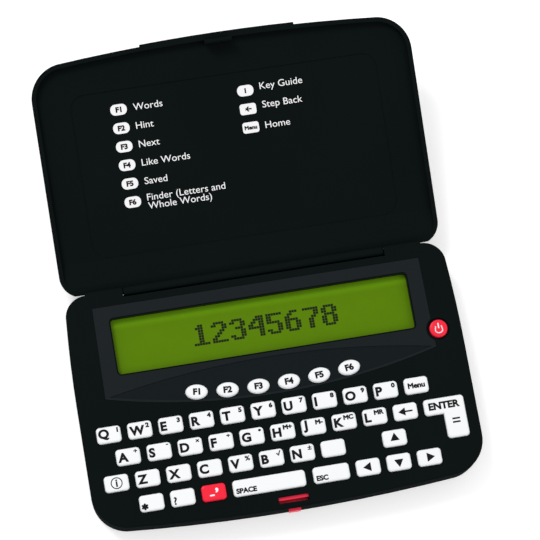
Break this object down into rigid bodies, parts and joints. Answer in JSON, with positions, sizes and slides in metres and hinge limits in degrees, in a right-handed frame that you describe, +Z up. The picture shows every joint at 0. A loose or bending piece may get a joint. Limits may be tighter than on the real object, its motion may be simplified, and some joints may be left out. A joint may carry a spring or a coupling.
{
  "type": "electronic dictionary",
  "caption": "Pocket crossword solver in black plastic with a keyboard, a display and a hinged lid that stands open.",
  "frame": {"origin": "middle of the flat underside of the case", "axes": "+X along the hinge to the user's right, +Y from the front edge to the hinge, +Z up from the surface that it lies on"},
  "size_m": [0.132, 0.1628, 0.0323],
  "materials": {
    "case_plastic": "satin",
    "panel_plastic": "gloss",
    "display_glass": "gloss",
    "key_plastic": "satin",
    "key_red_plastic": "satin",
    "latch_plastic": "satin",
    "holder_plastic": "satin",
    "board": "satin",
    "rubber_sheet": "matte",
    "steel": "brushed"
  },
  "bodies": {
    "case": {"upper_case": "case_plastic", "lower_case": "case_plastic", "display_panel": "panel_plastic", "lcd_glass": "display_glass", "lcd_frame": "holder_plastic", "circuit_board": "board", "key_mat": "rubber_sheet", "coin_cells": "steel", "battery_contacts": "steel", "case_screws": "steel", "latch_spring": "steel"},
    "lid_body": {"lid": "case_plastic"},
    "latch": {"latch_slide": "latch_plastic"},
    "door": {"battery_door": "case_plastic"},
    "key_f1_body": {"key_f1": "key_plastic"},
    "key_f2_body": {"key_f2": "key_plastic"},
    "key_f3_body": {"key_f3": "key_plastic"},
    "key_f4_body": {"key_f4": "key_plastic"},
    "key_f5_body": {"key_f5": "key_plastic"},
    "key_f6_body": {"key_f6": "key_plastic"},
    "key_power_body": {"key_power": "key_red_plastic"},
    "key_q_body": {"key_q": "key_plastic"},
    "key_w_body": {"key_w": "key_plastic"},
    "key_e_body": {"key_e": "key_plastic"},
    "key_r_body": {"key_r": "key_plastic"},
    "key_t_body": {"key_t": "key_plastic"},
    "key_y_body": {"key_y": "key_plastic"},
    "key_u_body": {"key_u": "key_plastic"},
    "key_i_body": {"key_i": "key_plastic"},
    "key_o_body": {"key_o": "key_plastic"},
    "key_p_body": {"key_p": "key_plastic"},
    "key_menu_body": {"key_menu": "key_plastic"},
    "key_a_body": {"key_a": "key_plastic"},
    "key_s_body": {"key_s": "key_plastic"},
    "key_d_body": {"key_d": "key_plastic"},
    "key_f_body": {"key_f": "key_plastic"},
    "key_g_body": {"key_g": "key_plastic"},
    "key_h_body": {"key_h": "key_plastic"},
    "key_j_body": {"key_j": "key_plastic"},
    "key_k_body": {"key_k": "key_plastic"},
    "key_l_body": {"key_l": "key_plastic"},
    "key_back_body": {"key_back": "key_plastic"},
    "key_enter_body": {"key_enter": "key_plastic"},
    "key_info_body": {"key_info": "key_plastic"},
    "key_z_body": {"key_z": "key_plastic"},
    "key_x_body": {"key_x": "key_plastic"},
    "key_c_body": {"key_c": "key_plastic"},
    "key_v_body": {"key_v": "key_plastic"},
    "key_b_body": {"key_b": "key_plastic"},
    "key_n_body": {"key_n": "key_plastic"},
    "key_blank_body": {"key_blank": "key_plastic"},
    "key_up_body": {"key_up": "key_plastic"},
    "key_star_body": {"key_star": "key_plastic"},
    "key_question_body": {"key_question": "key_plastic"},
    "key_dash_body": {"key_dash": "key_red_plastic"},
    "key_space_body": {"key_space": "key_plastic"},
    "key_esc_body": {"key_esc": "key_plastic"},
    "key_left_body": {"key_left": "key_plastic"},
    "key_down_body": {"key_down": "key_plastic"},
    "key_right_body": {"key_right": "key_plastic"}
  },
  "joints": [
    {"name": "lid_hinge", "type": "hinge", "parent": "case", "child": "lid_body", "pos_m": [0, 0.0405, 0.0109], "axis": [1, 0, 0], "range_deg": [0, 165.4]},
    {"name": "latch_button", "type": "slide", "parent": "case", "child": "latch", "axis": [0, 1, 0], "range_m": [0, 0.0009], "stiffness_N_per_m": 400, "deforming": ["latch_spring"]},
    {"name": "door_slide", "type": "slide", "parent": "case", "child": "door", "axis": [0, 1, 0], "range_m": [0, 0.004]},
    {"name": "key_f1_press", "type": "slide", "parent": "case", "child": "key_f1_body", "axis": [0, 0, -1], "range_m": [0, 0.0009], "stiffness_N_per_m": 500},
    {"name": "key_f2_press", "type": "slide", "parent": "case", "child": "key_f2_body", "axis": [0, 0, -1], "range_m": [0, 0.0009], "stiffness_N_per_m": 500},
    {"name": "key_f3_press", "type": "slide", "parent": "case", "child": "key_f3_body", "axis": [0, 0, -1], "range_m": [0, 0.0009], "stiffness_N_per_m": 500},
    {"name": "key_f4_press", "type": "slide", "parent": "case", "child": "key_f4_body", "axis": [0, 0, -1], "range_m": [0, 0.0009], "stiffness_N_per_m": 500},
    {"name": "key_f5_press", "type": "slide", "parent": "case", "child": "key_f5_body", "axis": [0, 0, -1], "range_m": [0, 0.0009], "stiffness_N_per_m": 500},
    {"name": "key_f6_press", "type": "slide", "parent": "case", "child": "key_f6_body", "axis": [0, 0, -1], "range_m": [0, 0.0009], "stiffness_N_per_m": 500},
    {"name": "key_power_press", "type": "slide", "parent": "case", "child": "key_power_body", "axis": [0, 0, -1], "range_m": [0, 0.0009], "stiffness_N_per_m": 500},
    {"name": "key_q_press", "type": "slide", "parent": "case", "child": "key_q_body", "axis": [0, 0, -1], "range_m": [0, 0.0009], "stiffness_N_per_m": 500},
    {"name": "key_w_press", "type": "slide", "parent": "case", "child": "key_w_body", "axis": [0, 0, -1], "range_m": [0, 0.0009], "stiffness_N_per_m": 500},
    {"name": "key_e_press", "type": "slide", "parent": "case", "child": "key_e_body", "axis": [0, 0, -1], "range_m": [0, 0.0009], "stiffness_N_per_m": 500},
    {"name": "key_r_press", "type": "slide", "parent": "case", "child": "key_r_body", "axis": [0, 0, -1], "range_m": [0, 0.0009], "stiffness_N_per_m": 500},
    {"name": "key_t_press", "type": "slide", "parent": "case", "child": "key_t_body", "axis": [0, 0, -1], "range_m": [0, 0.0009], "stiffness_N_per_m": 500},
    {"name": "key_y_press", "type": "slide", "parent": "case", "child": "key_y_body", "axis": [0, 0, -1], "range_m": [0, 0.0009], "stiffness_N_per_m": 500},
    {"name": "key_u_press", "type": "slide", "parent": "case", "child": "key_u_body", "axis": [0, 0, -1], "range_m": [0, 0.0009], "stiffness_N_per_m": 500},
    {"name": "key_i_press", "type": "slide", "parent": "case", "child": "key_i_body", "axis": [0, 0, -1], "range_m": [0, 0.0009], "stiffness_N_per_m": 500},
    {"name": "key_o_press", "type": "slide", "parent": "case", "child": "key_o_body", "axis": [0, 0, -1], "range_m": [0, 0.0009], "stiffness_N_per_m": 500},
    {"name": "key_p_press", "type": "slide", "parent": "case", "child": "key_p_body", "axis": [0, 0, -1], "range_m": [0, 0.0009], "stiffness_N_per_m": 500},
    {"name": "key_menu_press", "type": "slide", "parent": "case", "child": "key_menu_body", "axis": [0, 0, -1], "range_m": [0, 0.0009], "stiffness_N_per_m": 500},
    {"name": "key_a_press", "type": "slide", "parent": "case", "child": "key_a_body", "axis": [0, 0, -1], "range_m": [0, 0.0009], "stiffness_N_per_m": 500},
    {"name": "key_s_press", "type": "slide", "parent": "case", "child": "key_s_body", "axis": [0, 0, -1], "range_m": [0, 0.0009], "stiffness_N_per_m": 500},
    {"name": "key_d_press", "type": "slide", "parent": "case", "child": "key_d_body", "axis": [0, 0, -1], "range_m": [0, 0.0009], "stiffness_N_per_m": 500},
    {"name": "key_f_press", "type": "slide", "parent": "case", "child": "key_f_body", "axis": [0, 0, -1], "range_m": [0, 0.0009], "stiffness_N_per_m": 500},
    {"name": "key_g_press", "type": "slide", "parent": "case", "child": "key_g_body", "axis": [0, 0, -1], "range_m": [0, 0.0009], "stiffness_N_per_m": 500},
    {"name": "key_h_press", "type": "slide", "parent": "case", "child": "key_h_body", "axis": [0, 0, -1], "range_m": [0, 0.0009], "stiffness_N_per_m": 500},
    {"name": "key_j_press", "type": "slide", "parent": "case", "child": "key_j_body", "axis": [0, 0, -1], "range_m": [0, 0.0009], "stiffness_N_per_m": 500},
    {"name": "key_k_press", "type": "slide", "parent": "case", "child": "key_k_body", "axis": [0, 0, -1], "range_m": [0, 0.0009], "stiffness_N_per_m": 500},
    {"name": "key_l_press", "type": "slide", "parent": "case", "child": "key_l_body", "axis": [0, 0, -1], "range_m": [0, 0.0009], "stiffness_N_per_m": 500},
    {"name": "key_back_press", "type": "slide", "parent": "case", "child": "key_back_body", "axis": [0, 0, -1], "range_m": [0, 0.0009], "stiffness_N_per_m": 500},
    {"name": "key_enter_press", "type": "slide", "parent": "case", "child": "key_enter_body", "axis": [0, 0, -1], "range_m": [0, 0.0009], "stiffness_N_per_m": 500},
    {"name": "key_info_press", "type": "slide", "parent": "case", "child": "key_info_body", "axis": [0, 0, -1], "range_m": [0, 0.0009], "stiffness_N_per_m": 500},
    {"name": "key_z_press", "type": "slide", "parent": "case", "child": "key_z_body", "axis": [0, 0, -1], "range_m": [0, 0.0009], "stiffness_N_per_m": 500},
    {"name": "key_x_press", "type": "slide", "parent": "case", "child": "key_x_body", "axis": [0, 0, -1], "range_m": [0, 0.0009], "stiffness_N_per_m": 500},
    {"name": "key_c_press", "type": "slide", "parent": "case", "child": "key_c_body", "axis": [0, 0, -1], "range_m": [0, 0.0009], "stiffness_N_per_m": 500},
    {"name": "key_v_press", "type": "slide", "parent": "case", "child": "key_v_body", "axis": [0, 0, -1], "range_m": [0, 0.0009], "stiffness_N_per_m": 500},
    {"name": "key_b_press", "type": "slide", "parent": "case", "child": "key_b_body", "axis": [0, 0, -1], "range_m": [0, 0.0009], "stiffness_N_per_m": 500},
    {"name": "key_n_press", "type": "slide", "parent": "case", "child": "key_n_body", "axis": [0, 0, -1], "range_m": [0, 0.0009], "stiffness_N_per_m": 500},
    {"name": "key_blank_press", "type": "slide", "parent": "case", "child": "key_blank_body", "axis": [0, 0, -1], "range_m": [0, 0.0009], "stiffness_N_per_m": 500},
    {"name": "key_up_press", "type": "slide", "parent": "case", "child": "key_up_body", "axis": [0, 0, -1], "range_m": [0, 0.0009], "stiffness_N_per_m": 500},
    {"name": "key_star_press", "type": "slide", "parent": "case", "child": "key_star_body", "axis": [0, 0, -1], "range_m": [0, 0.0009], "stiffness_N_per_m": 500},
    {"name": "key_question_press", "type": "slide", "parent": "case", "child": "key_question_body", "axis": [0, 0, -1], "range_m": [0, 0.0009], "stiffness_N_per_m": 500},
    {"name": "key_dash_press", "type": "slide", "parent": "case", "child": "key_dash_body", "axis": [0, 0, -1], "range_m": [0, 0.0009], "stiffness_N_per_m": 500},
    {"name": "key_space_press", "type": "slide", "parent": "case", "child": "key_space_body", "axis": [0, 0, -1], "range_m": [0, 0.0009], "stiffness_N_per_m": 500},
    {"name": "key_esc_press", "type": "slide", "parent": "case", "child": "key_esc_body", "axis": [0, 0, -1], "range_m": [0, 0.0009], "stiffness_N_per_m": 500},
    {"name": "key_left_press", "type": "slide", "parent": "case", "child": "key_left_body", "axis": [0, 0, -1], "range_m": [0, 0.0009], "stiffness_N_per_m": 500},
    {"name": "key_down_press", "type": "slide", "parent": "case", "child": "key_down_body", "axis": [0, 0, -1], "range_m": [0, 0.0009], "stiffness_N_per_m": 500},
    {"name": "key_right_press", "type": "slide", "parent": "case", "child": "key_right_body", "axis": [0, 0, -1], "range_m": [0, 0.0009], "stiffness_N_per_m": 500}
  ]
}
